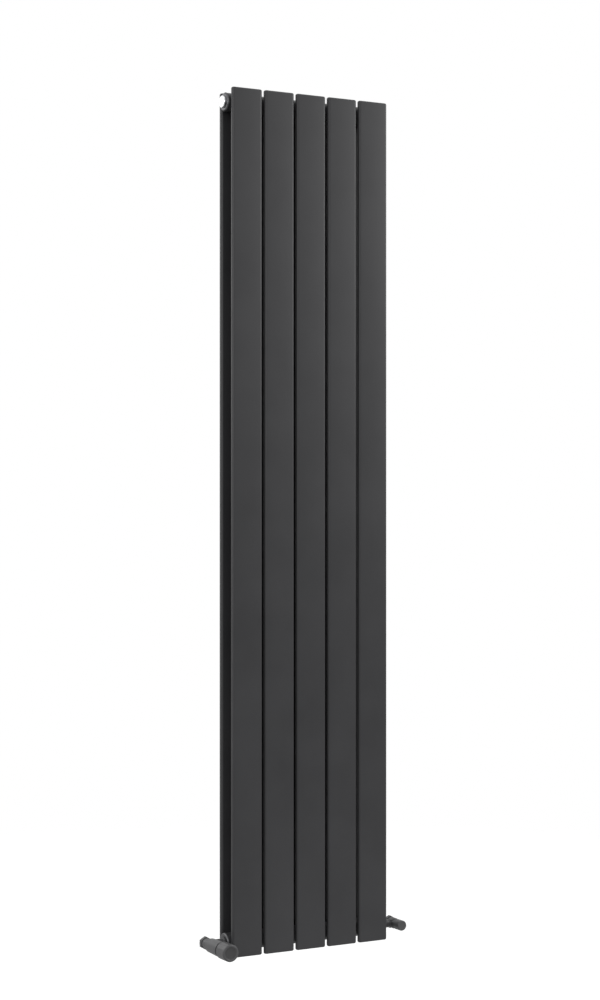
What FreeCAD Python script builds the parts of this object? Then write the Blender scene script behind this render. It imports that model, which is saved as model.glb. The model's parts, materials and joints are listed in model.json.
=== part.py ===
"""Tall double-row flat-panel radiator with a handwheel valve and a lockshield valve.

Millimetres. The origin is the centre of the four wall fixing holes, on the wall's surface.
+X runs to the right seen from the room, +Y into the wall, +Z up.
"""
import FreeCAD
import Part
import math
import os
import Sketcher
from FreeCAD import Placement, Rotation, Vector

# Driving dimensions: alias, value, what it is.
SIZES = [
    ("panel_count", 5, "flat tubes in each row"),
    ("panel_width", 70, "width of one flat tube"),
    ("panel_gap", 6, "air gap between neighbouring tubes"),
    ("panel_depth", 12, "thickness of a flat tube"),
    ("panel_round", 5.5, "outer radius of a flat tube's long edges"),
    ("panel_wall", 1.5, "sheet thickness of a flat tube"),
    ("front_height", 1800, "height of the front row over its end strips"),
    ("rear_drop", 5, "how much shorter the rear row is at each end"),
    ("strip_height", 6, "height of a welded end strip"),
    ("strip_round", 3.5, "outer radius of an end strip's upper edges"),
    ("header_dia", 38, "outer diameter of the headers"),
    ("header_wall", 1.5, "wall of the headers"),
    ("header_inset", 27.5, "header axis below the end of the front row"),
    ("header_proud", 5, "header end beyond the outermost tube"),
    ("port_dia", 12, "water port between header and tube"),
    ("collar_dia", 17, "weld collar round a port"),
    ("collar_gap", 1, "gap between header and tube, closed by the collar"),
    ("wall_gap", 32, "rear row to wall"),
    ("end_flange", 3, "thickness of a header end outside the tube"),
    ("end_spigot", 13, "length of a header end inside the tube"),
    ("end_round", 1, "chamfer of a header end"),
    ("thread_dia", 20.4, "half-inch pipe thread of a plug or tail, as a plain cylinder"),
    ("thread_fit", 0.1, "radial room of that thread in a header end"),
    ("weld_fit", 0.1, "radial room between a spigot and its tube"),
    ("bracket_span_x", 152, "distance between left and right wall brackets"),
    ("bracket_span_z", 1500, "distance between upper and lower wall brackets"),
    ("bracket_width", 30, "width of a wall bracket"),
    ("bracket_sheet", 3, "sheet thickness of brackets and stirrups"),
    ("bracket_above", 20, "bracket plate above its hole"),
    ("bracket_below", 35, "bracket plate below its hole"),
    ("bracket_lip", 20, "height of the bracket's upturned lip"),
    ("bracket_hole_dia", 7, "wall screw hole"),
    ("stirrup_standoff", 10, "clear depth behind the stirrup's bridge"),
    ("stirrup_height", 20, "height of a stirrup"),
    ("stirrup_side", 1.5, "room between a bracket's lip and a stirrup's legs"),
    ("hang_room", 0.4, "room between a bracket's lip and a stirrup's bridge"),
    ("pad_thickness", 1, "nylon pad under a stirrup"),
    ("plug_rim", 0.95, "flange of the vent and the blanking plug outside its O-ring groove"),
    ("plug_flange", 5.6, "flange thickness of the vent and the blanking plug"),
    ("plug_thread", 12, "thread length of the vent and the blanking plug"),
    ("plug_chamfer", 1, "edge chamfer of the vent and the blanking plug"),
    ("ring_cord", 1.4, "section diameter of the plugs' O-rings"),
    ("ring_room", 0.1, "room on each side of an O-ring in its groove"),
    ("bleed_dia", 6, "bleed screw"),
    ("bleed_length", 10, "bleed screw length"),
    ("bleed_proud", 0.6, "bleed screw beyond the vent's face"),
    ("bleed_slot", 1.2, "width and depth of the bleed screw's slot"),
    ("bleed_seat", 1.5, "width of the seat under the bleed screw"),
    ("run_fit", 0.05, "radial room of a turning or sliding fit"),
    ("nut_room", 0.1, "room between nuts and what they go round or press on"),
    ("nut_gap", 0.3, "gap between the end of a nut and the shoulder beside it"),
    ("pipe_dia", 15, "copper pipe"),
    ("pipe_room", 0.1, "radial room round the pipe"),
    ("pipe_depth", 6, "how deep the pipe goes into the body"),
    ("inlet_wall", 2.6, "inlet spigot round the pipe"),
    ("inlet_length", 5.3, "inlet spigot behind the barrel"),
    ("mouth_rise", 1.4, "how far the inlet's mouth opens round the pipe"),
    ("mouth_depth", 3, "depth of the inlet mouth's cone"),
    ("olive_edge", 0.2, "blunt edge of the olive"),
    ("olive_room", 0.15, "radial room between the olive and the inlet's cone"),
    ("olive_short", 0.75, "olive short of the cone's end"),
    ("olive_proud", 2.2, "olive behind the inlet spigot"),
    ("comp_wall", 1.8, "compression nut round its thread, at its flats"),
    ("nut_web", 2.2, "end wall of the union and compression nuts"),
    ("seat_step", 2.1, "shoulder that stops the pipe, down to the valve seat's hole"),
    ("barrel_step", 1.1, "barrel outside the inlet spigot"),
    ("barrel_rear", 9.2, "barrel behind the union axis"),
    ("barrel_front", 10, "barrel in front of the union axis"),
    ("barrel_chamfer", 0.8, "edge chamfer of the barrel"),
    ("barrel_wall", 2.4, "barrel round the valve chamber"),
    ("chamber_rear", 4.8, "valve seat behind the union axis"),
    ("branch_bore_dia", 8.4, "water way of the branch and tail"),
    ("branch_neck", 1.8, "full branch beside the barrel"),
    ("branch_thread", 6.2, "length of the union thread"),
    ("branch_wall", 1.65, "union thread round the tail's nose"),
    ("union_wall", 1.7, "union nut round its thread"),
    ("union_flat_wall", 0.8, "union nut round its thread, at its spanner flats"),
    ("nose_wall", 1.1, "tail nose round the water way"),
    ("nose_depth", 5.5, "how deep the tail's nose goes into the branch"),
    ("tail_lip", 2, "thickness of the tail lip held by the union nut"),
    ("tail_shank_step", 0.5, "tail shank outside its nose"),
    ("left_tail_collar", 8.4, "length of the left tail's collar"),
    ("right_tail_collar", 2.9, "length of the right tail's collar"),
    ("tail_rim", 1.8, "tail flange outside the header thread"),
    ("tail_flange", 1.2, "thickness of the tail flange"),
    ("tail_seal", 1.3, "thickness of the tail's seal washer"),
    ("tail_thread", 12, "thread length of the tail in the header"),
    ("spindle_dia", 6, "spindle"),
    ("spindle_collar", 2, "length of the spindle collar"),
    ("spindle_ring_cord", 1.9, "section diameter of the spindle O-ring"),
    ("spindle_entry", 4, "spindle engaged in the valve plug"),
    ("gland_room", 0.3, "gland bore outside the spindle O-ring"),
    ("gland_rim", 1.3, "gland nut head outside the gland bore"),
    ("gland_head", 2.5, "gland nut head"),
    ("bonnet_wall", 2.8, "bonnet neck round the gland bore"),
    ("bonnet_neck", 12, "length of the bonnet neck"),
    ("bonnet_step", 1.5, "bonnet hexagon outside its neck, at its flats"),
    ("bonnet_hex", 6, "length of the bonnet's hexagon"),
    ("bonnet_thread", 5.5, "bonnet thread in the body"),
    ("guide_wall", 2.5, "valve plug round the spindle, at its guide's flats"),
    ("guide_room", 0.15, "room round the guide hexagon"),
    ("guide_entry", 2, "guide inside the bonnet when the valve is shut"),
    ("washer_thickness", 2, "rubber washer of the valve plug"),
    ("washer_over", 1.5, "rubber washer outside the seat's hole"),
    ("plug_holder", 2.2, "thickness of the valve plug's holder"),
    ("plug_travel", 2.5, "travel of the valve plug"),
    ("skirt_start", 0.4, "joint between barrel and skirt"),
    ("skirt_over", 3.4, "skirt outside the barrel where they meet"),
    ("skirt_flare", 1.7, "how much wider the skirt is at its front, in radius"),
    ("skirt_length", 51.1, "skirt length"),
    ("skirt_wall", 1.6, "skirt wall"),
    ("skirt_bevel", 2.6, "bevel of the skirt's closed rear shoulder"),
    ("skirt_nut_wall", 2.5, "ring nut of the skirt round the bonnet neck"),
    ("skirt_nut", 3.6, "thickness of the skirt's ring nut"),
    ("wheel_gap", 5, "shadow gap between skirt and handwheel"),
    ("wheel_over", 1.4, "handwheel outside the skirt's front"),
    ("wheel_length", 34.5, "handwheel length"),
    ("wheel_wall", 2.2, "handwheel wall"),
    ("wheel_neck_room", 0.5, "radial room of the handwheel's neck in the skirt's mouth"),
    ("wheel_neck_entry", 2, "handwheel's neck inside the skirt"),
    ("wheel_round", 2.4, "handwheel front edge"),
    ("wheel_rim", 5.6, "handwheel's front rim outside the plain disc"),
    ("hub_wall", 3, "handwheel hub round the spindle"),
    ("hub_sunk", 4.4, "hub's end inside the handwheel's rear"),
    ("badge_thickness", 2, "thickness of the plain disc in the handwheel's front"),
    ("badge_sunk", 0.5, "how far that disc lies back"),
    ("badge_room", 0.1, "room round that disc"),
    ("screw_wall", 1, "spindle wall round the handwheel screw"),
    ("screw_rim", 1.5, "handwheel screw's head outside its shank"),
    ("screw_head", 3, "handwheel screw head height"),
    ("screw_hole", 12, "depth of the handwheel screw's hole"),
    ("screw_short", 2, "handwheel screw short of its hole's end"),
    ("square_proud", 4, "lockshield spindle in front of its gland nut"),
    ("square_cut", 0.9, "depth of the square's flats on the lockshield spindle"),
    ("square_length", 3.6, "length of that square"),
    ("cap_step", 1.5, "cap's inside outside the bonnet neck"),
    ("cap_wall", 1.5, "cap wall"),
    ("cap_front_wall", 2, "cap front wall"),
    ("cap_clear", 1.5, "room between the lockshield spindle and the cap's front"),
    ("cap_round", 1.5, "cap front edge"),
    ("cap_grip", 3, "length of the rib that grips the bonnet neck"),
    ("cap_room", 0.3, "gap between cap and bonnet hexagon"),
]

LEFT, RIGHT = -1, 1
HEX_CORNER = 2 / math.sqrt(3)    # corner radius of a hexagon whose flats are 1 from its middle
NUT_BEVEL = 0.6                  # rise of a nut's corner bevel for each unit inwards
TOLERANCE = 1e-3                 # length below which two positions are the same


class Size:
    """A length from the sheet: its number now, and the expression that keeps it up to date."""

    def __init__(self, value, text):
        self.value = value
        self.text = text

    def __add__(self, other):
        other = as_size(other)
        return Size(self.value + other.value, f"({self.text} + {other.text})")

    def __sub__(self, other):
        other = as_size(other)
        return Size(self.value - other.value, f"({self.text} - {other.text})")

    def __mul__(self, factor):
        return Size(self.value * factor, f"({self.text} * {factor!r})")

    def __truediv__(self, divisor):
        return Size(self.value / divisor, f"({self.text} / {divisor!r})")

    def __neg__(self):
        return Size(-self.value, f"(0 - {self.text})")


def as_size(number):
    """A plain number as a size that depends on nothing."""
    return number if isinstance(number, Size) else Size(float(number), repr(float(number)))


class Sizes:
    """The driving dimensions: a spreadsheet whose aliases are read as attributes."""

    def __init__(self, doc):
        self.sheet = doc.addObject("Spreadsheet::Sheet", "sizes")
        self.numbers = {}
        for row, (alias, number, words) in enumerate(SIZES, start=1):
            self.sheet.set(f"A{row}", words)
            self.sheet.set(f"B{row}", str(number))
            self.sheet.setAlias(f"B{row}", alias)
            self.numbers[alias] = number
        doc.recompute()

    def __getattr__(self, alias):
        return Size(float(self.numbers[alias]), f"sizes.{alias}")


doc = FreeCAD.newDocument("radiator")
s = Sizes(doc)
parts = []


# ---------------------------------------------------------------- building blocks

def place(obj, x=0, y=0, z=0, rotation=None):
    """Put an object at a point bound to the sheet, turned by a fixed rotation."""
    x, y, z = as_size(x), as_size(y), as_size(z)
    obj.Placement = Placement(Vector(x.value, y.value, z.value), rotation or Rotation())
    for axis, size in (("x", x), ("y", y), ("z", z)):
        obj.setExpression(f"Placement.Base.{axis}", size.text)


def new_body(label):
    """Start a sub-part; its label names its file."""
    body = doc.addObject("PartDesign::Body", label)
    body.Label = label
    body.AllowCompound = True
    parts.append(body)
    return body


def new_sketch(body, role, offset=0):
    """Put a sketch on one of the body's origin planes, offset along the plane's normal."""
    plane = next(f for f in body.Origin.OriginFeatures if f.Role == role)
    sketch = body.newObject("Sketcher::SketchObject", body.Name + "_sketch")
    sketch.AttachmentSupport = [(plane, "")]
    sketch.MapMode = "FlatFace"
    offset = as_size(offset)
    sketch.AttachmentOffset = Placement(Vector(0, 0, offset.value), Rotation())
    sketch.setExpression("AttachmentOffset.Base.z", offset.text)
    return sketch


def bind(sketch, kind, geometry, point, size):
    """Fix one coordinate of a point, or a radius, to a sheet expression."""
    size = as_size(size)
    if kind == "Radius":
        number = sketch.addConstraint(Sketcher.Constraint(kind, geometry, size.value))
    else:
        number = sketch.addConstraint(Sketcher.Constraint(kind, -1, 1, geometry, point, size.value))
    sketch.setExpression(f"Constraints[{number}]", size.text)


def add_outline(sketch, points):
    """Draw a closed outline of straight lines through points given as pairs of sizes."""
    points = [(as_size(a), as_size(b)) for a, b in points]
    corners = [Vector(a.value, b.value, 0) for a, b in points]
    first = sketch.GeometryCount
    count = len(points)
    for i in range(count):
        sketch.addGeometry(Part.LineSegment(corners[i], corners[(i + 1) % count]), False)
    for i in range(count):
        sketch.addConstraint(Sketcher.Constraint("Coincident", first + i, 2, first + (i + 1) % count, 1))
    for i, (a, b) in enumerate(points):
        bind(sketch, "DistanceX", first + i, 1, a)
        bind(sketch, "DistanceY", first + i, 1, b)


def add_rectangle(sketch, x0, x1, y0, y1):
    """Draw a rectangle between two pairs of sizes."""
    add_outline(sketch, [(x0, y0), (x1, y0), (x1, y1), (x0, y1)])


def add_hexagon(sketch, half_flats):
    """Draw a hexagon round the sketch origin with one corner straight up."""
    add_outline(sketch, [(half_flats * (HEX_CORNER * math.sin(k * math.pi / 3)),
                          half_flats * (HEX_CORNER * math.cos(k * math.pi / 3))) for k in range(6)])


def add_circle(sketch, x, y, radius):
    """Draw a circle with its centre and radius bound to sizes."""
    x, y, radius = as_size(x), as_size(y), as_size(radius)
    circle = Part.Circle(Vector(x.value, y.value, 0), Vector(0, 0, 1), radius.value)
    number = sketch.addGeometry(circle, False)
    bind(sketch, "DistanceX", number, 3, x)
    bind(sketch, "DistanceY", number, 3, y)
    bind(sketch, "Radius", number, 0, radius)


def extrude(body, kind, sketch, length, midplane=False, reverse=False):
    """Add a Pad or a Pocket of a sketch; its length is bound to the sheet."""
    feature = body.newObject("PartDesign::" + kind, body.Name + "_" + kind)
    feature.Profile = sketch
    length = as_size(length)
    feature.Length = length.value
    feature.setExpression("Length", length.text)
    feature.SideType = "Symmetric" if midplane else "One side"
    feature.Reversed = reverse
    sketch.Visibility = False
    return feature


def turn(body, kind, sketch, axis):
    """Add a full Revolution or Groove of a sketch about its H_Axis or V_Axis."""
    feature = body.newObject("PartDesign::" + kind, body.Name + "_" + kind)
    feature.Profile = sketch
    feature.ReferenceAxis = (sketch, [axis])
    feature.Angle = 360
    return feature


def turned(label, outline, along="V_Axis"):
    """A sub-part turned from one outline in the XY plane: (radius, y) about Y, or (x, radius) about X."""
    body = new_body(label)
    sketch = new_sketch(body, "XY_Plane")
    add_outline(sketch, outline)
    turn(body, "Revolution", sketch, along)
    return body


def bore(body, outline, along="V_Axis"):
    """Cut a turned hollow into a sub-part."""
    sketch = new_sketch(body, "XY_Plane")
    add_outline(sketch, outline)
    turn(body, "Groove", sketch, along)


def dress_edges(body, kind, property_name, size, wanted):
    """Add a Fillet or Chamfer on the edges of the body's shape that a test accepts."""
    doc.recompute()
    tip = body.Tip
    names = [f"Edge{i}" for i, edge in enumerate(tip.Shape.Edges, start=1) if wanted(edge)]
    feature = body.newObject("PartDesign::" + kind, body.Name + "_" + kind)
    feature.Base = (tip, names)
    setattr(feature, property_name, size.value)
    feature.setExpression(property_name, size.text)


def is_upright(edge):
    """True for a straight edge parallel to Z."""
    box = edge.BoundBox
    return box.XLength + box.YLength < TOLERANCE


# ---------------------------------------------------------------- where things are

rear_row_y = -(s.wall_gap + s.panel_depth / 2)
header_y = -(s.wall_gap + s.panel_depth + s.collar_gap + s.header_dia / 2)
front_row_y = header_y - s.header_dia / 2 - s.collar_gap - s.panel_depth / 2
header_z = s.front_height / 2 - s.header_inset
rear_height = s.front_height - s.rear_drop * 2
row_half_width = (s.panel_width + (s.panel_width + s.panel_gap) * (s.numbers["panel_count"] - 1)) / 2
header_half = row_half_width + s.header_proud
panel_numbers = range(1, s.numbers["panel_count"] + 1)


def panel_x(number):
    """Middle of a flat tube, counted from the left."""
    middle = (s.numbers["panel_count"] + 1) / 2
    return (s.panel_width + s.panel_gap) * (number - middle)


# ---------------------------------------------------------------- radiator

def flat_tube(label, x, y, height, port_towards_room):
    """One hollow flat tube with a water port near each end, open at both ends."""
    body = new_body(label)
    place(body, x, y)
    outer = new_sketch(body, "XY_Plane")
    add_rectangle(outer, -s.panel_width / 2, s.panel_width / 2, -s.panel_depth / 2, s.panel_depth / 2)
    length = height - s.strip_height * 2
    extrude(body, "Pad", outer, length, midplane=True)
    inner = new_sketch(body, "XY_Plane")
    half_x = s.panel_width / 2 - s.panel_wall
    half_y = s.panel_depth / 2 - s.panel_wall
    add_rectangle(inner, -half_x, half_x, -half_y, half_y)
    extrude(body, "Pocket", inner, length, midplane=True)
    for side_x, radius in ((half_x, s.panel_round - s.panel_wall), (s.panel_width / 2, s.panel_round)):
        dress_edges(body, "Fillet", "Radius", radius, lambda e, at=side_x.value: (
            is_upright(e) and abs(abs(e.BoundBox.XMin) - at) < TOLERANCE))
    ports = new_sketch(body, "XZ_Plane")
    for z in (header_z, -header_z):
        add_circle(ports, 0, z, s.port_dia / 2)
    extrude(body, "Pocket", ports, s.panel_depth, reverse=port_towards_room)
    return body


def end_strips(label, y, height):
    """The rounded strips welded over both ends of every flat tube in a row."""
    body = new_body(label)
    place(body, 0, y)
    for sign in (1, -1):
        for number in panel_numbers:
            base = height / 2 - s.strip_height
            sketch = new_sketch(body, "XY_Plane", base if sign > 0 else -base)
            x = panel_x(number)
            half = s.panel_width / 2
            add_rectangle(sketch, x - half, x + half, -s.panel_depth / 2, s.panel_depth / 2)
            extrude(body, "Pad", sketch, s.strip_height, reverse=sign < 0)
    dress_edges(body, "Fillet", "Radius", s.panel_round, is_upright)
    top = height.value / 2
    dress_edges(body, "Fillet", "Radius", s.strip_round,
                lambda e: abs(abs(e.BoundBox.ZMin) - top) < TOLERANCE and e.BoundBox.ZLength < TOLERANCE)


def header(label, z):
    """A header tube with a port to every flat tube of both rows."""
    body = new_body(label)
    place(body, 0, header_y, z)
    ring = new_sketch(body, "YZ_Plane")
    add_circle(ring, 0, 0, s.header_dia / 2)
    add_circle(ring, 0, 0, s.header_dia / 2 - s.header_wall)
    extrude(body, "Pad", ring, (header_half - s.end_flange) * 2, midplane=True)
    ports = new_sketch(body, "XZ_Plane")
    for number in panel_numbers:
        add_circle(ports, panel_x(number), 0, s.port_dia / 2)
    extrude(body, "Pocket", ports, s.header_dia, midplane=True)


def port_collars():
    """Short weld collars between the headers and the flat tubes, hollowed to the headers' round."""
    body = new_body("port_collars")
    place(body, 0, header_y)
    for z in (header_z, -header_z):
        rings = new_sketch(body, "XZ_Plane")
        for number in panel_numbers:
            add_circle(rings, panel_x(number), z, s.collar_dia / 2)
            add_circle(rings, panel_x(number), z, s.port_dia / 2)
        extrude(body, "Pad", rings, s.header_dia + s.collar_gap * 2, midplane=True)
    clear = new_sketch(body, "YZ_Plane")
    for z in (header_z, -header_z):
        add_circle(clear, 0, z, s.header_dia / 2)
    extrude(body, "Pocket", clear, header_half * 2, midplane=True)


def side_turn(side):
    """Pieces are drawn for the left end; on the right they are turned half round about Z."""
    return Rotation() if side == LEFT else Rotation(Vector(0, 0, 1), 180)


def header_end(label, side, z):
    """A threaded ring welded into a header's end."""
    thread_hole = s.thread_dia / 2 + s.thread_fit
    body = turned(label, [
        (0, thread_hole),
        (0, s.header_dia / 2 - s.end_round),
        (s.end_round, s.header_dia / 2),
        (s.end_flange, s.header_dia / 2),
        (s.end_flange, s.header_dia / 2 - s.header_wall - s.weld_fit),
        (s.end_flange + s.end_spigot, s.header_dia / 2 - s.header_wall - s.weld_fit),
        (s.end_flange + s.end_spigot, thread_hole)], "H_Axis")
    place(body, header_half * side, header_y, z, side_turn(side))


groove = s.ring_cord + s.ring_room * 2


def screw_plug(label, side, bored):
    """A chrome plug for a header end, with a groove for its O-ring behind the flange."""
    rear = s.plug_thread
    groove_outer = s.thread_dia / 2 + groove
    rim = groove_outer + s.plug_rim
    outline = [
        (-s.plug_flange, 0),
        (-s.plug_flange, rim - s.plug_chamfer),
        (-s.plug_flange + s.plug_chamfer, rim),
        (0, rim),
        (0, groove_outer),
        (-groove, groove_outer),
        (-groove, s.thread_dia / 2),
        (rear, s.thread_dia / 2),
        (rear, 0)]
    body = turned(label, outline, "H_Axis")
    if bored:
        seat = s.bleed_length - s.bleed_proud - s.plug_flange
        radius = s.bleed_dia / 2 + s.run_fit
        hole = s.bleed_dia / 2 - s.bleed_seat
        bore(body, [(-s.plug_flange, 0), (-s.plug_flange, radius), (seat, radius),
                    (seat, hole), (rear, hole), (rear, 0)], "H_Axis")
    place(body, header_half * side, header_y, header_z, side_turn(side))


def o_ring(label, radius, cord, x, y, z, rotation):
    """An O-ring: radius and cord are sizes, the ring's axis is Z before its rotation."""
    ring = doc.addObject("Part::Torus", label)
    ring.Label = label
    cord_radius = cord / 2
    ring.Radius1, ring.Radius2 = radius.value, cord_radius.value
    ring.setExpression("Radius1", radius.text)
    ring.setExpression("Radius2", cord_radius.text)
    place(ring, x, y, z, rotation)
    parts.append(ring)


def bleed_screw():
    """The slotted screw in the middle of the air vent."""
    start = -(s.plug_flange + s.bleed_proud)
    body = turned("bleed_screw", [
        (start, 0), (start, s.bleed_dia / 2),
        (start + s.bleed_length, s.bleed_dia / 2), (start + s.bleed_length, 0)], "H_Axis")
    slot = new_sketch(body, "YZ_Plane", start)
    add_rectangle(slot, -s.bleed_dia / 2, s.bleed_dia / 2, -s.bleed_slot / 2, s.bleed_slot / 2)
    extrude(body, "Pocket", slot, s.bleed_slot, reverse=True)
    place(body, -header_half, header_y, header_z)


def bracket_places():
    """The four wall fixing points."""
    return [(s.bracket_span_x / 2 * sx, s.bracket_span_z / 2 * sz) for sz in (1, -1) for sx in (-1, 1)]


bridge_rear = s.wall_gap - s.stirrup_standoff - s.bracket_sheet
lip_rear = bridge_rear + s.bracket_sheet + s.hang_room


def wall_brackets():
    """Four J-shaped sheet brackets, each with one hole for a wall screw."""
    body = new_body("wall_brackets")
    sheet = s.bracket_sheet
    for x, z in bracket_places():
        sketch = new_sketch(body, "YZ_Plane", x)
        floor = z - s.bracket_below
        add_outline(sketch, [
            (0, z + s.bracket_above), (0, floor), (-lip_rear - sheet, floor),
            (-lip_rear - sheet, floor + s.bracket_lip), (-lip_rear, floor + s.bracket_lip),
            (-lip_rear, floor + sheet), (-sheet, floor + sheet), (-sheet, z + s.bracket_above)])
        extrude(body, "Pad", sketch, s.bracket_width, midplane=True)
    holes = new_sketch(body, "XZ_Plane")
    for x, z in bracket_places():
        add_circle(holes, x, z, s.bracket_hole_dia / 2)
    extrude(body, "Pocket", holes, sheet * 2, midplane=True)


def stirrup_floor(z):
    """Height of a stirrup's lower edge, on the pad in its bracket."""
    return z - s.bracket_below + s.bracket_sheet + s.pad_thickness


def hanging_stirrups():
    """Four U-shaped stirrups welded to the rear row; each bridge drops behind a bracket's lip."""
    body = new_body("hanging_stirrups")
    inner = s.bracket_width / 2 + s.stirrup_side
    outer = inner + s.bracket_sheet
    for x, z in bracket_places():
        sketch = new_sketch(body, "XY_Plane", stirrup_floor(z))
        add_outline(sketch, [
            (x - outer, -s.wall_gap), (x - outer, -bridge_rear), (x + outer, -bridge_rear),
            (x + outer, -s.wall_gap), (x + inner, -s.wall_gap),
            (x + inner, -bridge_rear - s.bracket_sheet), (x - inner, -bridge_rear - s.bracket_sheet),
            (x - inner, -s.wall_gap)])
        extrude(body, "Pad", sketch, s.stirrup_height)


def bracket_pads():
    """Thin nylon pads that the stirrups rest on."""
    body = new_body("bracket_pads")
    for x, z in bracket_places():
        sketch = new_sketch(body, "XY_Plane", stirrup_floor(z) - s.pad_thickness)
        add_rectangle(sketch, x - s.bracket_width / 2, x + s.bracket_width / 2, -lip_rear, -s.bracket_sheet)
        extrude(body, "Pad", sketch, s.pad_thickness)


# ---------------------------------------------------------------- valves
# Drawn about the crossing of the two axes: +Y to the wall, +X to the radiator.

ALONG_X = Rotation(Vector(0, 1, 0), 90)
ALONG_Y = Rotation(Vector(1, 0, 0), 90)

# Along the valve axis, from the wall to the room.
inlet_end = s.barrel_rear + s.inlet_length
olive_rear = inlet_end + s.olive_proud
comp_web = olive_rear + s.nut_room
comp_end = comp_web + s.nut_web
pipe_stop = inlet_end - s.pipe_depth
bonnet_rear = -(s.barrel_front - s.bonnet_thread)
hex_front = -(s.barrel_front + s.bonnet_hex)
neck_front = hex_front - s.bonnet_neck
plug_rear = s.chamber_rear - s.washer_thickness
guide_rear = plug_rear - s.plug_holder
guide_front = bonnet_rear - s.guide_entry
spindle_rear = guide_front + s.spindle_entry
collar_rear = -(s.barrel_front + s.spindle_collar)
collar_front = collar_rear - s.spindle_collar
gland_front = neck_front - s.gland_head
lock_front = gland_front - s.square_proud
skirt_rear = -(s.barrel_front + s.skirt_start)
skirt_front = skirt_rear - s.skirt_length
wheel_rear = skirt_front - s.wheel_gap
wheel_front = wheel_rear - s.wheel_length
disc_rear = wheel_front + s.badge_sunk + s.badge_thickness

# Round the valve axis, from the inside out.
shaft_hole = s.spindle_dia / 2 + s.run_fit
gland_radius = s.spindle_dia / 2 + s.spindle_ring_cord + s.gland_room
neck_radius = gland_radius + s.bonnet_wall
bonnet_flats = neck_radius + s.bonnet_step
pipe_radius = s.pipe_dia / 2 + s.pipe_room
seat_radius = pipe_radius - s.seat_step
washer_radius = seat_radius + s.washer_over
inlet_radius = pipe_radius + s.inlet_wall
barrel_radius = inlet_radius + s.barrel_step
chamber_radius = barrel_radius - s.barrel_wall
skirt_rear_radius = barrel_radius + s.skirt_over
skirt_front_radius = skirt_rear_radius + s.skirt_flare
wheel_radius = skirt_front_radius + s.wheel_over
disc_radius = wheel_radius - s.wheel_rim
screw_radius = s.spindle_dia / 2 - s.screw_wall
screw_head_radius = screw_radius + s.screw_rim

# Round the union axis.
water_radius = s.branch_bore_dia / 2
nose_radius = water_radius + s.nose_wall
nose_hole = nose_radius + s.run_fit
branch_thread_radius = nose_hole + s.branch_wall
branch_radius = branch_thread_radius + s.union_wall
tail_shank_radius = nose_radius + s.tail_shank_step
flange_radius = s.thread_dia / 2 + s.tail_rim

# Along the union axis, from the valve axis to the header.
branch_end = barrel_radius + s.branch_neck
branch_thread_end = branch_end + s.branch_thread
lip_start = branch_thread_end + s.nut_room
lip_end = lip_start + s.tail_lip
union_web = lip_end + s.nut_room
union_end = union_web + s.nut_web
collar_start = union_end + s.nut_gap
flange_start = {LEFT: collar_start + s.left_tail_collar, RIGHT: collar_start + s.right_tail_collar}
flange_end = {side: start + s.tail_flange for side, start in flange_start.items()}
valve_reach = {side: end + s.tail_seal for side, end in flange_end.items()}
valve_x = {side: header_half + reach for side, reach in valve_reach.items()}


def place_valve_part(body, side):
    """Left valve as drawn; the right valve is turned half round about Y."""
    rotation = Rotation() if side == LEFT else Rotation(Vector(0, 1, 0), 180)
    place(body, valve_x[side] * side, header_y, -header_z, rotation)


def valve_body(name, side):
    """The brass angle body: barrel, inlet spigot and union branch, with its water ways."""
    chamfer = s.barrel_chamfer
    body = turned(name + "_valve_body", [
        (0, -s.barrel_front), (barrel_radius - chamfer, -s.barrel_front),
        (barrel_radius, -s.barrel_front + chamfer), (barrel_radius, s.barrel_rear - chamfer),
        (barrel_radius - chamfer, s.barrel_rear), (inlet_radius, s.barrel_rear),
        (inlet_radius, inlet_end), (0, inlet_end)])
    branch = new_sketch(body, "XY_Plane")
    add_outline(branch, [
        (0, 0), (0, branch_radius), (branch_end, branch_radius), (branch_end, branch_thread_radius),
        (branch_thread_end, branch_thread_radius), (branch_thread_end, 0)])
    turn(body, "Revolution", branch, "H_Axis")
    bore(body, [
        (0, inlet_end), (pipe_radius + s.mouth_rise, inlet_end), (pipe_radius, inlet_end - s.mouth_depth),
        (pipe_radius, pipe_stop), (seat_radius, pipe_stop), (seat_radius, s.chamber_rear),
        (chamber_radius, s.chamber_rear), (chamber_radius, -s.barrel_front), (0, -s.barrel_front)])
    socket = branch_thread_end - s.nose_depth
    bore(body, [
        (0, 0), (0, water_radius), (socket, water_radius), (socket, nose_hole),
        (branch_thread_end, nose_hole), (branch_thread_end, 0)], "H_Axis")
    place_valve_part(body, side)


def union_tail(name, side):
    """The tail: nose in the branch, lip under the nut, collar, flange and header thread."""
    start = lip_start - s.nose_depth
    end = valve_reach[side] + s.tail_thread
    lip_radius = branch_thread_radius - s.nut_room
    body = turned(name + "_union_tail", [
        (start, water_radius), (start, nose_radius), (lip_start, nose_radius),
        (lip_start, lip_radius), (lip_end, lip_radius),
        (lip_end, tail_shank_radius), (collar_start, tail_shank_radius),
        (collar_start, branch_radius), (flange_start[side], branch_radius),
        (flange_start[side], flange_radius), (flange_end[side], flange_radius),
        (flange_end[side], s.thread_dia / 2), (end, s.thread_dia / 2), (end, water_radius)], "H_Axis")
    place_valve_part(body, side)


def tail_seal(name, side):
    """The flat seal between the tail's flange and the header end."""
    inner = s.thread_dia / 2 + s.nut_room
    body = turned(name + "_tail_seal", [
        (flange_end[side], inner), (flange_end[side], flange_radius),
        (valve_reach[side], flange_radius), (valve_reach[side], inner)], "H_Axis")
    place_valve_part(body, side)


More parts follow.
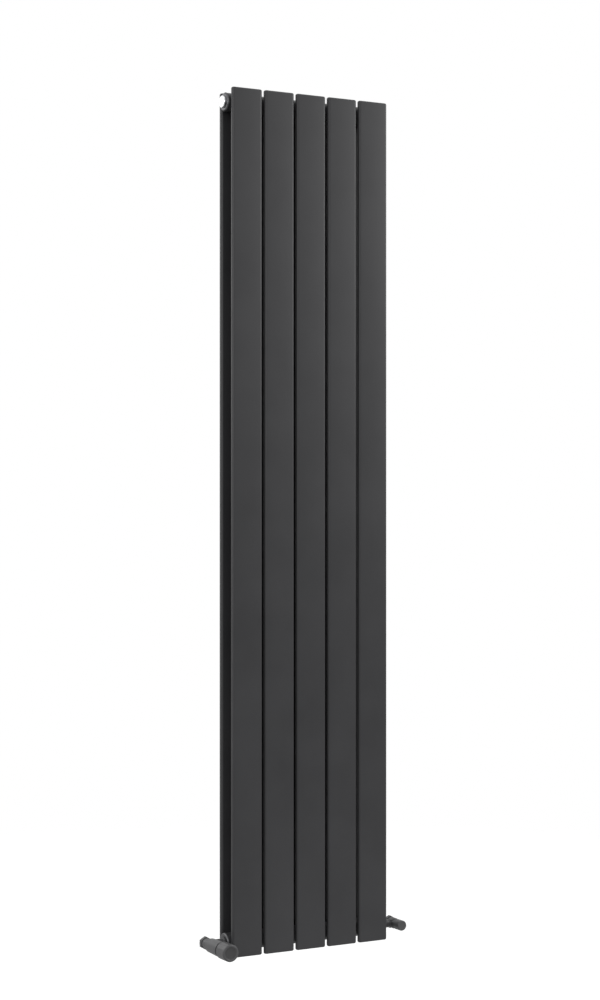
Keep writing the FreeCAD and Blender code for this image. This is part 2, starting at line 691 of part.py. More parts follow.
def union_nut(name, side):
    """The slim ring nut that pulls the tail to the branch, with two spanner flats."""
    start = branch_end + s.nut_gap
    thread = branch_thread_radius + s.run_fit
    hole = tail_shank_radius + s.nut_room
    body = turned(name + "_union_nut", [
        (start, thread), (start, branch_radius), (union_end, branch_radius), (union_end, hole),
        (union_web, hole), (union_web, thread)], "H_Axis")
    flat = branch_thread_radius + s.union_flat_wall
    for sign in (1, -1):
        flats = new_sketch(body, "YZ_Plane", start)
        add_rectangle(flats, flat * sign, branch_radius * 2 * sign, -branch_radius * 2, branch_radius * 2)
        extrude(body, "Pocket", flats, union_end - start, reverse=True)
    place_valve_part(body, side)


def hexagon_sleeve(body, half_flats, rear, length):
    """Pad a hexagon from a plane across the valve axis towards the room."""
    sketch = new_sketch(body, "XZ_Plane", -rear)
    add_hexagon(sketch, half_flats)
    return extrude(body, "Pad", sketch, length)


def compression_nut(name, side):
    """The hexagon nut that squeezes the olive on to the pipe, its corners bevelled at both ends."""
    body = new_body(name + "_compression_nut")
    start = s.barrel_rear + s.nut_gap
    flats = inlet_radius + s.comp_wall
    hexagon_sleeve(body, flats, comp_end, comp_end - start)
    thread = inlet_radius + s.run_fit
    bore(body, [(0, start), (thread, start), (thread, comp_web), (pipe_radius, comp_web),
                (pipe_radius, comp_end), (0, comp_end)])
    outside = flats + s.comp_wall * 2
    bevel = s.comp_wall * 2 * NUT_BEVEL
    for edge, inward in ((comp_end, -1), (start, 1)):
        bore(body, [(flats, edge), (outside, edge), (outside, edge + bevel * inward)])
    place_valve_part(body, side)


def olive(name, side):
    """The soft brass ring, coned at both ends."""
    front = inlet_end - s.mouth_depth + s.olive_short
    edge = pipe_radius + s.olive_edge
    body = turned(name + "_olive", [
        (pipe_radius, front), (pipe_radius, olive_rear), (edge, olive_rear),
        (pipe_radius + s.mouth_rise - s.olive_room, inlet_end), (edge, front)])
    place_valve_part(body, side)


def bonnet(name, side):
    """The headwork screwed into the body: thread, hexagon, neck, keyed guide and gland bore."""
    thread = chamber_radius - s.run_fit
    body = turned(name + "_bonnet", [
        (0, bonnet_rear), (thread, bonnet_rear), (thread, -s.barrel_front),
        (neck_radius, -s.barrel_front), (neck_radius, neck_front), (0, neck_front)])
    hexagon_sleeve(body, bonnet_flats, -s.barrel_front - s.run_fit, s.bonnet_hex)
    guide = new_sketch(body, "XZ_Plane", -bonnet_rear)
    add_hexagon(guide, s.spindle_dia / 2 + s.guide_wall + s.guide_room)
    extrude(body, "Pocket", guide, bonnet_rear + s.barrel_front, reverse=True)
    bore(body, [
        (0, -s.barrel_front + s.run_fit), (shaft_hole, -s.barrel_front + s.run_fit),
        (shaft_hole, collar_rear), (gland_radius, collar_rear), (gland_radius, neck_front),
        (0, neck_front)])
    place_valve_part(body, side)


def gland_nut(name, side):
    """The nut that keeps the spindle and its O-ring in the bonnet."""
    rear = collar_front - s.spindle_ring_cord - s.nut_room * 2
    sleeve = gland_radius - s.run_fit
    head = gland_radius + s.gland_rim
    under = neck_front - s.run_fit
    body = turned(name + "_gland_nut", [
        (shaft_hole, rear), (sleeve, rear), (sleeve, under), (head, under), (head, gland_front),
        (shaft_hole, gland_front)])
    place_valve_part(body, side)


def spindle_profile(front):
    """Half outline of a spindle with its retaining collar."""
    shaft = s.spindle_dia / 2
    collar = gland_radius - s.nut_room
    return [
        (0, spindle_rear), (shaft, spindle_rear), (shaft, collar_rear - s.run_fit),
        (collar, collar_rear - s.run_fit), (collar, collar_front), (shaft, collar_front),
        (shaft, front), (0, front)]


def wheel_spindle(side):
    """The handwheel's spindle, tapped for the handwheel screw."""
    front = disc_rear + s.screw_head + s.wheel_wall
    body = turned("left_spindle", spindle_profile(front))
    hole = screw_radius + s.run_fit
    bore(body, [(0, front), (hole, front), (hole, front + s.screw_hole), (0, front + s.screw_hole)])
    place_valve_part(body, side)


def lock_spindle(side):
    """The lockshield's spindle, with a square in front of the gland nut for the balancing key."""
    body = turned("right_spindle", spindle_profile(lock_front))
    square = new_sketch(body, "XZ_Plane", -lock_front)
    half = s.spindle_dia / 2 - s.square_cut
    add_circle(square, 0, 0, s.spindle_dia)
    add_rectangle(square, -half, half, -half, half)
    extrude(body, "Pocket", square, s.square_length)
    place_valve_part(body, side)


def spindle_seal(name, side):
    """The O-ring round the spindle in front of its collar."""
    cord = s.spindle_ring_cord
    radius = s.spindle_dia / 2 + cord / 2 + s.nut_room
    y = collar_front - cord / 2 - s.nut_room
    o_ring(name + "_spindle_o_ring", radius, cord, valve_x[side] * side, header_y + y, -header_z, ALONG_Y)


def valve_plug(name, side):
    """The keyed plug that the spindle's thread draws off the seat."""
    body = new_body(name + "_valve_plug")
    hexagon_sleeve(body, s.spindle_dia / 2 + s.guide_wall, guide_rear, guide_rear - guide_front)
    holder = new_sketch(body, "XZ_Plane", -plug_rear)
    add_circle(holder, 0, 0, washer_radius)
    extrude(body, "Pad", holder, s.plug_holder)
    depth = spindle_rear + s.plug_travel + s.nut_gap
    bore(body, [(0, guide_front), (shaft_hole, guide_front), (shaft_hole, depth), (0, depth)])
    place_valve_part(body, side)


def plug_washer(name, side):
    """The rubber washer that shuts on the seat."""
    seat = s.chamber_rear - s.run_fit
    body = turned(name + "_plug_washer", [
        (0, plug_rear), (washer_radius, plug_rear), (washer_radius, seat), (0, seat)])
    place_valve_part(body, side)


def skirt(side):
    """The sleeve over the left bonnet: a bevelled rear shoulder, and the web its ring nut clamps."""
    wall, bevel = s.skirt_wall, s.skirt_bevel
    web_rear = hex_front - s.nut_room
    web_front = web_rear - wall
    hole = neck_radius + s.nut_room
    shoulder_hole = bonnet_flats * HEX_CORNER + s.nut_room
    body = turned("left_skirt", [
        (shoulder_hole, skirt_rear), (skirt_rear_radius - bevel, skirt_rear),
        (skirt_rear_radius, skirt_rear - bevel), (skirt_front_radius, skirt_front),
        (skirt_front_radius - wall, skirt_front), (skirt_rear_radius - wall, web_front),
        (hole, web_front), (hole, web_rear), (skirt_rear_radius - wall, web_rear),
        (skirt_rear_radius - wall, skirt_rear - bevel), (shoulder_hole, skirt_rear - wall)])
    place_valve_part(body, side)


def skirt_nut(side):
    """The ring nut on the bonnet neck that holds the skirt."""
    rear = hex_front - s.skirt_wall - s.nut_room * 2
    hole = neck_radius + s.run_fit
    outer = neck_radius + s.skirt_nut_wall
    body = turned("left_skirt_nut", [
        (hole, rear), (outer, rear), (outer, rear - s.skirt_nut), (hole, rear - s.skirt_nut)])
    place_valve_part(body, side)


def handwheel(side):
    """The handwheel: a cup with a neck in the skirt, a hub on the spindle and a seat for the disc."""
    neck = skirt_front_radius - s.skirt_wall - s.wheel_neck_room
    neck_rear = skirt_front + s.wheel_neck_entry
    inner = neck - s.wheel_wall
    hub = s.spindle_dia / 2 + s.hub_wall
    seat = disc_radius + s.badge_room
    screw = screw_radius + s.badge_room
    head = screw_head_radius + s.badge_room
    head_floor = disc_rear + s.screw_head
    web = head_floor + s.wheel_wall
    hub_rear = wheel_rear - s.hub_sunk
    edge = s.wheel_round
    body = turned("left_handwheel", [
        (inner, neck_rear), (neck, neck_rear), (neck, wheel_rear),
        (wheel_radius, wheel_rear), (wheel_radius, wheel_front + edge),
        (wheel_radius - edge, wheel_front), (seat, wheel_front), (seat, disc_rear), (head, disc_rear),
        (head, head_floor), (screw, head_floor), (screw, web), (shaft_hole, web),
        (shaft_hole, hub_rear), (hub, hub_rear), (hub, web), (inner, web)])
    place_valve_part(body, side)


def handwheel_screw(side):
    """The screw that draws the handwheel on to its spindle."""
    top = disc_rear + s.run_fit
    under = disc_rear + s.screw_head
    tip = under + s.wheel_wall + s.screw_hole - s.screw_short
    body = turned("left_handwheel_screw", [
        (0, top), (screw_head_radius, top), (screw_head_radius, under),
        (screw_radius, under), (screw_radius, tip), (0, tip)])
    place_valve_part(body, side)


def handwheel_disc(side):
    """The plain disc that closes the handwheel's front."""
    front = wheel_front + s.badge_sunk
    body = turned("left_handwheel_disc", [
        (0, front), (disc_radius, front), (disc_radius, disc_rear), (0, disc_rear)])
    place_valve_part(body, side)


def lockshield_cap(side):
    """The pull-off cap over the lockshield spindle; a rib inside grips the bonnet neck."""
    inner = neck_radius + s.cap_step
    outer = inner + s.cap_wall
    grip = neck_radius + s.run_fit
    rear = hex_front - s.cap_room
    rib = rear - s.cap_grip
    floor = lock_front - s.cap_clear
    front = floor - s.cap_front_wall
    body = turned("right_lockshield_cap", [
        (grip, rear), (outer, rear), (outer, front + s.cap_round), (outer - s.cap_round, front),
        (0, front), (0, floor), (inner, floor), (inner, rib), (grip, rib)])
    place_valve_part(body, side)


def valve(name, side):
    """Everything that both valves share."""
    valve_body(name, side)
    union_tail(name, side)
    tail_seal(name, side)
    union_nut(name, side)
    compression_nut(name, side)
    olive(name, side)
    bonnet(name, side)
    gland_nut(name, side)
    spindle_seal(name, side)
    valve_plug(name, side)
    plug_washer(name, side)


# ---------------------------------------------------------------- the whole object

for i in panel_numbers:
    flat_tube(f"front_panel_{i}", panel_x(i), front_row_y, s.front_height, False)
for i in panel_numbers:
    flat_tube(f"rear_panel_{i}", panel_x(i), rear_row_y, rear_height, True)
end_strips("front_end_strips", front_row_y, s.front_height)
end_strips("rear_end_strips", rear_row_y, rear_height)
header("top_header", header_z)
header("bottom_header", -header_z)
port_collars()
for level, height_z in (("top", header_z), ("bottom", -header_z)):
    header_end(level + "_left_header_end", LEFT, height_z)
    header_end(level + "_right_header_end", RIGHT, height_z)
screw_plug("air_vent", LEFT, True)
screw_plug("blanking_plug", RIGHT, False)
for ring_name, ring_side in (("air_vent_o_ring", LEFT), ("blanking_plug_o_ring", RIGHT)):
    o_ring(ring_name, (s.thread_dia + groove) / 2, s.ring_cord,
           (header_half + groove / 2) * ring_side, header_y, header_z, ALONG_X)
bleed_screw()
wall_brackets()
hanging_stirrups()
bracket_pads()
valve("left", LEFT)
wheel_spindle(LEFT)
skirt(LEFT)
skirt_nut(LEFT)
handwheel(LEFT)
handwheel_screw(LEFT)
handwheel_disc(LEFT)
valve("right", RIGHT)
lock_spindle(RIGHT)
lockshield_cap(RIGHT)

doc.recompute()
for obj in doc.Objects:
    if "Invalid" in obj.State or "Error" in obj.State:
        raise RuntimeError(f"{obj.Name} failed: {obj.State}")
for piece in parts:
    if piece.Shape.isNull() or not piece.Shape.isValid():
        raise RuntimeError(f"{piece.Label} has no valid shape")

os.makedirs("parts", exist_ok=True)
for piece in parts:
    piece.Shape.exportStep(f"parts/{piece.Label}.step")
    print(f"{piece.Label}: {len(piece.Shape.Solids)} solid(s), {piece.Shape.Volume / 1000:.2f} cm3")
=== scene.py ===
"""Looks of a tall double-row flat-panel radiator with a handwheel valve and a lockshield valve.

Metres, in the row frame: +X to the right seen from the room, +Y into the wall, +Z up.
"""
import json
import logging
import math
from dataclasses import dataclass
from enum import Enum
from typing import Callable

import bmesh
import bpy
import numpy as np
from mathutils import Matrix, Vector


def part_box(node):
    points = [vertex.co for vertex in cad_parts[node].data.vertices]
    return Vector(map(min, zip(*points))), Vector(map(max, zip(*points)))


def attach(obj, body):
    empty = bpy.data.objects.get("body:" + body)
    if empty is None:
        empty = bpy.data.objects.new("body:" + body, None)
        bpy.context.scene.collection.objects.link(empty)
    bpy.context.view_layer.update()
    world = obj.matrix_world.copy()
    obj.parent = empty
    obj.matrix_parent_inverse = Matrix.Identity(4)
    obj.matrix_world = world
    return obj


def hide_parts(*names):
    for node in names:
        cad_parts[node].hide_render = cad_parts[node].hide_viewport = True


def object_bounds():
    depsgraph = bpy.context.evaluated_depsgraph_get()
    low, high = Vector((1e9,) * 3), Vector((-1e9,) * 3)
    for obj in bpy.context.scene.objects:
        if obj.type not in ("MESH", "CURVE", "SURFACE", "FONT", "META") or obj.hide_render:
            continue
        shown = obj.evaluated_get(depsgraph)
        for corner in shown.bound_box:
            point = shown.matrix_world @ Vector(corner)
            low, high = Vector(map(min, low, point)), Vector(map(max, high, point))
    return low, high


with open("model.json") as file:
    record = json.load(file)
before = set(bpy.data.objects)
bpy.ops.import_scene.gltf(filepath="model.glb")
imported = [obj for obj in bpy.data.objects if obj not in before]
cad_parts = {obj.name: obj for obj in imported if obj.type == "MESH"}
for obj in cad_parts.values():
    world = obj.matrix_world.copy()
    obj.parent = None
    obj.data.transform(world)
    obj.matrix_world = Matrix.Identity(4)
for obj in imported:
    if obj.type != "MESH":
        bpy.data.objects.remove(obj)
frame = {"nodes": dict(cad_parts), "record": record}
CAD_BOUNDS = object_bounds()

MM = 0.001
log = logging.getLogger("radiator")

Shell = tuple[np.ndarray, list[list[int]]]
Tone = tuple[float, float, float]
Point = tuple[float, float, float]
Corner = tuple[float, float, float]
RadiusRule = Callable[[np.ndarray, np.ndarray, np.ndarray], np.ndarray]


class Along(Enum):
    """The row axis that a turned piece is turned about."""

    X = 0
    Y = 1


class Side(Enum):
    """An end of the radiator; the value is the sign of its X."""

    LEFT = -1
    RIGHT = 1


# ------------------------------------------------------------------ surfaces


def rounded_outline(corners: list[Corner], steps: int = 6) -> np.ndarray:
    """Replace each corner of an open outline by an arc tangent to its two sides.

    A corner of half angle a and radius r is cut at r / tan(a) along both sides; the arc between the
    two cuts is drawn as a circle about the point r / sin(a) away along the bisector.

    Args:
        corners: (axial, radius, corner radius) rows in millimetres; the two ends are kept as they are.
        steps: points on each arc.

    Returns:
        The outline as an (n, 2) array in metres.
    """
    points = np.array([c[:2] for c in corners], float)
    pieces = [points[:1]]
    for before, here, after, corner in zip(points[:-2], points[1:-1], points[2:], corners[1:-1]):
        radius = corner[2]
        to_before = (before - here) / np.linalg.norm(before - here)
        to_after = (after - here) / np.linalg.norm(after - here)
        half = math.acos(float(np.clip(to_before @ to_after, -1, 1))) / 2
        if radius <= 0 or half > math.radians(89):
            pieces.append(here[None])
            continue
        bisector = (to_before + to_after) / np.linalg.norm(to_before + to_after)
        centre = here + bisector * radius / math.sin(half)
        start = here + to_before * radius / math.tan(half) - centre
        end = here + to_after * radius / math.tan(half) - centre
        turn = math.atan2(start[0] * end[1] - start[1] * end[0], float(start @ end))
        angles = np.linspace(0, turn, steps)[:, None]
        side = np.array([-start[1], start[0]])
        pieces.append(centre + np.cos(angles) * start + np.sin(angles) * side)
    pieces.append(points[-1:])
    return np.vstack(pieces) * MM


def make_object(name: str, points: np.ndarray, faces: list[list[int]],
                sharp: float = 40.0) -> bpy.types.Object:
    """Put points and faces into a new mesh object at the origin, smooth apart from sharp edges.

    Args:
        name: name of the piece.
        points: (n, 3) positions in metres.
        faces: lists of point numbers.
        sharp: edges that bend by more than this many degrees stay sharp.

    Returns:
        The new object, linked to the scene.
    """
    mesh = bpy.data.meshes.new(name)
    mesh.from_pydata(points.tolist(), [], faces)
    mesh.validate()
    mesh.shade_smooth()
    mesh.set_sharp_from_angle(angle=math.radians(sharp))
    obj = bpy.data.objects.new(name, mesh)
    bpy.context.scene.collection.objects.link(obj)
    return obj


def grid_faces(rows: int, columns: int, close_rows: bool) -> np.ndarray:
    """Quads of a grid of points numbered row by row, each row closed on itself.

    Args:
        rows: number of rows.
        columns: number of points in a row.
        close_rows: join the last row to the first.

    Returns:
        An (n, 4) array of point numbers.
    """
    row = np.arange(rows if close_rows else rows - 1)[:, None]
    column = np.arange(columns)[None]
    next_row, next_column = (row + 1) % rows, (column + 1) % columns
    quads = np.stack([row * columns + column, row * columns + next_column,
                      next_row * columns + next_column, next_row * columns + column], -1)
    return quads.reshape(-1, 4)


def turned_shell(outline: np.ndarray, centre: Vector, along: Along, toward: int = 1,
                 segments: int = 72, rule: RadiusRule | None = None) -> Shell:
    """Turn an outline about an axis.

    Point (a, r) at angle t goes to a along the axis, and to r cos t and r sin t across it.

    An outline that starts and ends on the axis gets a single point at each pole; any other outline is
    closed on itself, which makes a ring.

    Args:
        outline: (n, 2) array of axial position and radius in metres.
        centre: point on the axis where the axial position is 0.
        along: the axis.
        toward: 1 if the axial position grows along the axis, -1 if against it.
        segments: points round the axis.
        rule: changes the radius, given (axial, angle, radius) grids.

    Returns:
        Points and faces.
    """
    poles = outline[0, 1] < 1e-9 and outline[-1, 1] < 1e-9
    ring = outline[1:-1] if poles else outline
    angle = np.linspace(0, 2 * math.pi, segments, endpoint=False)[None]
    axial, radius = ring[:, :1] + 0 * angle, ring[:, 1:] + 0 * angle
    if rule is not None:
        radius = rule(axial, angle + 0 * axial, radius)
    first, second = radius * np.cos(angle), radius * np.sin(angle)
    if along is Along.X:
        grid = np.stack([axial * toward, first, second * toward], -1)
    else:
        grid = np.stack([second * toward, axial * toward, first], -1)
    points = grid.reshape(-1, 3)
    faces = grid_faces(len(ring), segments, not poles).tolist()
    if poles:
        ends = np.zeros((2, 3))
        ends[:, along.value] = outline[[0, -1], 0] * toward
        points = np.vstack([points, ends])
        first_pole, last_pole = len(points) - 2, len(points) - 1
        here = np.arange(segments)
        after = (here + 1) % segments
        base = (len(ring) - 1) * segments
        faces += np.stack([np.full(segments, first_pole), after, here], -1).tolist()
        faces += np.stack([np.full(segments, last_pole), base + here, base + after], -1).tolist()
    return points + np.array(centre), faces


def joined(shells: list[Shell]) -> Shell:
    """Put several closed shells into one set of points and faces."""
    points, faces = [], []
    for shell_points, shell_faces in shells:
        start = sum(len(p) for p in points)
        points.append(shell_points)
        faces += [[number + start for number in face] for face in shell_faces]
    return np.vstack(points), faces


def face_outwards(obj: bpy.types.Object) -> None:
    """Turn the faces of every closed shell of a mesh outwards."""
    mesh = bmesh.new()
    mesh.from_mesh(obj.data)
    bmesh.ops.recalc_face_normals(mesh, faces=mesh.faces[:])
    mesh.to_mesh(obj.data)
    mesh.free()


# ------------------------------------------------------------------ finishes


def mapped(tree: bpy.types.NodeTree, value: bpy.types.NodeSocket, source: tuple[float, float],
           target: tuple[float, float]) -> bpy.types.NodeSocket:
    """Map a value from a source range to a target range, kept within the target."""
    node = tree.nodes.new("ShaderNodeMapRange")
    for name, number in zip(("From Min", "From Max", "To Min", "To Max"), (*source, *target)):
        node.inputs[name].default_value = number
    tree.links.new(value, node.inputs["Value"])
    return node.outputs["Result"]


def toned(tone: Tone, factor: float) -> Tone:
    """A tone made lighter or darker, never past white."""
    return tuple(min(1.0, channel * factor) for channel in tone)


class Shader:
    """A material under construction, with short calls for its nodes."""

    def __init__(self, name: str) -> None:
        """Start a material with a Principled surface."""
        self.material = bpy.data.materials.new(name)
        self.material.use_nodes = True
        self.tree = self.material.node_tree
        self.surface = self.tree.nodes["Principled BSDF"]
        self.coordinates = self.tree.nodes.new("ShaderNodeTexCoord").outputs["Object"]

    def set(self, **values: object) -> None:
        """Set the surface's own sockets; underscores stand for spaces."""
        for name, value in values.items():
            self.surface.inputs[name.replace("_", " ")].default_value = value

    def link(self, source: bpy.types.NodeSocket, target: bpy.types.NodeSocket) -> None:
        """Join two sockets."""
        self.tree.links.new(source, target)

    def placed(self, centre: Point = (0, 0, 0), scale: Point = (1, 1, 1)) -> bpy.types.NodeSocket:
        """Object coordinates moved to a centre and stretched.

        Args:
            centre: point in metres that becomes the origin.
            scale: stretch along each axis.

        Returns:
            The vector socket.
        """
        node = self.tree.nodes.new("ShaderNodeMapping")
        node.inputs["Location"].default_value = [-c * s for c, s in zip(centre, scale)]
        node.inputs["Scale"].default_value = scale
        self.link(self.coordinates, node.inputs["Vector"])
        return node.outputs["Vector"]

    def noise(self, scale: float, detail: float = 2.0,
              vector: bpy.types.NodeSocket | None = None) -> bpy.types.NodeSocket:
        """Noise from 0 to 1 at a scale in features per metre.

        Args:
            scale: features per metre.
            detail: octaves.
            vector: coordinates, the object's own if left out.

        Returns:
            The factor socket.
        """
        node = self.tree.nodes.new("ShaderNodeTexNoise")
        node.inputs["Scale"].default_value = scale
        node.inputs["Detail"].default_value = detail
        self.link(vector or self.coordinates, node.inputs["Vector"])
        return node.outputs["Fac"]

    def spread(self, value: bpy.types.NodeSocket, low: float, high: float, from_low: float = 0.3,
               from_high: float = 0.7) -> bpy.types.NodeSocket:
        """Map a range of a value, most of a noise's own unless given, to another range."""
        return mapped(self.tree, value, (from_low, from_high), (low, high))

    def colour(self, source: bpy.types.NodeSocket) -> None:
        """Use a socket as the surface's colour."""
        self.link(source, self.surface.inputs["Base Color"])

    def roughness(self, source: bpy.types.NodeSocket) -> None:
        """Use a socket as the surface's roughness."""
        self.link(source, self.surface.inputs["Roughness"])

    def mixed(self, factor: bpy.types.NodeSocket, first: Tone | bpy.types.NodeSocket,
              second: Tone | bpy.types.NodeSocket) -> bpy.types.NodeSocket:
        """Mix two colours, each a tone or a socket, by a factor."""
        node = self.tree.nodes.new("ShaderNodeMix")
        node.data_type = "RGBA"
        self.link(factor, node.inputs["Factor"])
        for socket, value in ((node.inputs[6], first), (node.inputs[7], second)):
            if isinstance(value, bpy.types.NodeSocket):
                self.link(value, socket)
            else:
                socket.default_value = (*value, 1)
        return node.outputs[2]

    def maths(self, operation: str, first: bpy.types.NodeSocket,
              second: bpy.types.NodeSocket | float = 0.0) -> bpy.types.NodeSocket:
        """One Math node."""
        node = self.tree.nodes.new("ShaderNodeMath")
        node.operation = operation
        self.link(first, node.inputs[0])
        if isinstance(second, bpy.types.NodeSocket):
            self.link(second, node.inputs[1])
        else:
            node.inputs[1].default_value = second
        return node.outputs[0]

    def radius_about(self, centre: Point, along: Along) -> bpy.types.NodeSocket:
        """Distance from an axis through a centre, in metres."""
        parts = self.tree.nodes.new("ShaderNodeSeparateXYZ")
        self.link(self.placed(centre), parts.inputs[0])
        across = [i for i in range(3) if i != along.value]
        squares = [self.maths("POWER", self.maths("ABSOLUTE", parts.outputs[i]), 2.0) for i in across]
        return self.maths("SQRT", self.maths("ADD", *squares))

    def bump(self, height: bpy.types.NodeSocket, depth: float) -> None:
        """Raise the surface by height times depth in metres."""
        node = self.tree.nodes.new("ShaderNodeBump")
        node.inputs["Distance"].default_value = depth
        node.inputs["Strength"].default_value = 1.0
        self.link(height, node.inputs["Height"])
        self.link(node.outputs["Normal"], self.surface.inputs["Normal"])


@dataclass(frozen=True)
class PowderCoat:
    """Baked powder coat: orange peel, fine flow texture and a little drift in tone and gloss."""

    name: str
    tone: Tone
    drift: float = 0.10
    gloss: float = 0.42
    peel: float = 420.0
    peel_depth: float = 0.00003
    grain: float = 2600.0
    grain_depth: float = 0.00001

    def material(self) -> bpy.types.Material:
        """Build the material."""
        shader = Shader(self.name)
        cloud = shader.spread(shader.noise(9.0, 4.0), 0.0, 1.0)
        speck = shader.spread(shader.noise(self.grain, 2.0), 0.0, 1.0)
        colour = shader.mixed(cloud, toned(self.tone, 1 - self.drift), toned(self.tone, 1 + self.drift))
        shader.colour(shader.mixed(shader.maths("MULTIPLY", speck, 0.35), colour, toned(self.tone, 1.25)))
        peel = shader.noise(self.peel, 2.0)
        rough = shader.maths("ADD", shader.spread(peel, -0.04, 0.04), shader.spread(cloud, -0.03, 0.03, 0, 1))
        shader.roughness(shader.maths("ADD", rough, self.gloss))
        grain = shader.maths("MULTIPLY", shader.noise(self.grain, 2.0), self.grain_depth / self.peel_depth)
        shader.bump(shader.maths("ADD", peel, grain), self.peel_depth)
        shader.set(Specular_IOR_Level=0.4)
        return shader.material


@dataclass(frozen=True)
class TurnedMetal:
    """Metal off a lathe: rings round an axis, with a soft cloud of handling marks."""

    name: str
    tone: Tone
    centre: Point
    along: Along
    gloss: float = 0.3
    lines: float = 5200.0
    metallic: float = 1.0

    def material(self) -> bpy.types.Material:
        """Build the material."""
        shader = Shader(self.name)
        distance = shader.radius_about(self.centre, self.along)
        rings = shader.tree.nodes.new("ShaderNodeTexNoise")
        rings.noise_dimensions = "1D"
        rings.inputs["Scale"].default_value = self.lines
        rings.inputs["Detail"].default_value = 3.0
        shader.link(distance, rings.inputs["W"])
        ring = rings.outputs["Fac"]
        cloud = shader.noise(160.0, 4.0)
        colour = shader.mixed(shader.spread(ring, 0.35, 1.0), toned(self.tone, 0.72), self.tone)
        shader.colour(shader.mixed(shader.spread(cloud, 0.0, 0.3, 0.45, 0.75), colour, toned(self.tone, 0.6)))
        rough = shader.maths("ADD", shader.spread(ring, -0.06, 0.06), shader.spread(cloud, -0.05, 0.08))
        shader.roughness(shader.maths("ADD", rough, self.gloss))
        shader.bump(ring, 0.00001)
        shader.set(Metallic=self.metallic)
        return shader.material


@dataclass(frozen=True)
class Chrome:
    """Polished chrome plate with hairline wipe marks and faint breath-like haze."""

    name: str
    tone: Tone = (0.86, 0.87, 0.88)

    def material(self) -> bpy.types.Material:
        """Build the material."""
        shader = Shader(self.name)
        wipes = shader.noise(1.0, 3.0, shader.placed(scale=(4000.0, 300.0, 300.0)))
        haze = shader.noise(220.0, 3.0)
        shader.roughness(shader.maths("ADD", shader.spread(wipes, 0.0, 0.05, 0.5, 0.8),
                                      shader.spread(haze, 0.03, 0.09)))
        shader.colour(shader.mixed(shader.spread(haze, 0.0, 1.0), self.tone, toned(self.tone, 0.9)))
        shader.bump(wipes, 0.000002)
        shader.set(Metallic=1.0)
        return shader.material


@dataclass(frozen=True)
class ZincPlate:
    """Bright zinc on pressed steel: fine rolling grain and cloudy passivation."""

    name: str
    tone: Tone = (0.52, 0.53, 0.55)

    def material(self) -> bpy.types.Material:
        """Build the material."""
        shader = Shader(self.name)
        grain = shader.noise(1.0, 3.0, shader.placed(scale=(3000.0, 3000.0, 120.0)))
        cloud = shader.noise(90.0, 4.0)
        blue = (self.tone[0] * 0.82, self.tone[1] * 0.86, self.tone[2] * 0.95)
        colour = shader.mixed(shader.spread(cloud, 0.0, 1.0), self.tone, blue)
        shader.colour(shader.mixed(shader.spread(grain, 0.0, 0.35), colour, toned(self.tone, 0.7)))
        shader.roughness(shader.maths("ADD", shader.spread(grain, 0.28, 0.42),
                                      shader.spread(cloud, -0.05, 0.05)))
        shader.bump(grain, 0.00001)
        shader.set(Metallic=1.0)
        return shader.material


@dataclass(frozen=True)
class Moulding:
    """Moulded plastic or rubber: spark-eroded mould texture, faint flow marks and rubbed high spots."""

    name: str
    tone: Tone
    gloss: float = 0.5
    texture: float = 1800.0
    depth: float = 0.00003
    scatter: float = 0.0

    def material(self) -> bpy.types.Material:
        """Build the material."""
        shader = Shader(self.name)
        spark = shader.noise(self.texture, 3.0)
        flow = shader.noise(60.0, 3.0)
        colour = shader.mixed(shader.spread(flow, 0.0, 1.0), toned(self.tone, 0.85), toned(self.tone, 1.12))
        shader.colour(shader.mixed(shader.spread(spark, 0.0, 0.35, 0.5, 0.8), colour, toned(self.tone, 1.35)))
        rough = shader.maths("ADD", shader.spread(spark, -0.07, 0.05), shader.spread(flow, -0.03, 0.03))
        shader.roughness(shader.maths("ADD", rough, self.gloss))
        shader.bump(spark, self.depth)
        shader.set(Subsurface_Weight=self.scatter)
        if self.scatter:
            shader.set(Subsurface_Radius=(0.002, 0.002, 0.0018))
        return shader.material


# ------------------------------------------------------------------ the radiator


@dataclass
class Dresser:
    """Puts finished pieces on their bodies and keeps one material for each finish."""

    finishes: dict[str, bpy.types.Material]

    def dress(self, obj: bpy.types.Object, slot: str, body: str, *nodes: str) -> None:
        """Give a new piece its material, body, slot and the CAD nodes that it stands for.

        Args:
            obj: the piece.
            slot: material slot of the record.
            body: CAD body that it rides on.
            nodes: CAD nodes that it replaces.
        """
        face_outwards(obj)
        obj.data.materials.append(self.finishes[slot])
        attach(obj, body)
        if nodes:
            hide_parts(*nodes)
        log.info("%s: %d faces, on %s", obj.name, len(obj.data.polygons), body)

    def dress_nodes(self) -> None:
        """Give every CAD node the material of its slot."""
        for entry in frame["record"]["subparts"]:
            node = frame["nodes"][entry["node"]]
            for place in node.material_slots:
                place.material = self.finishes[entry["material_slot"]]
            log.info("node %s: %s", entry["node"], entry["material_slot"])


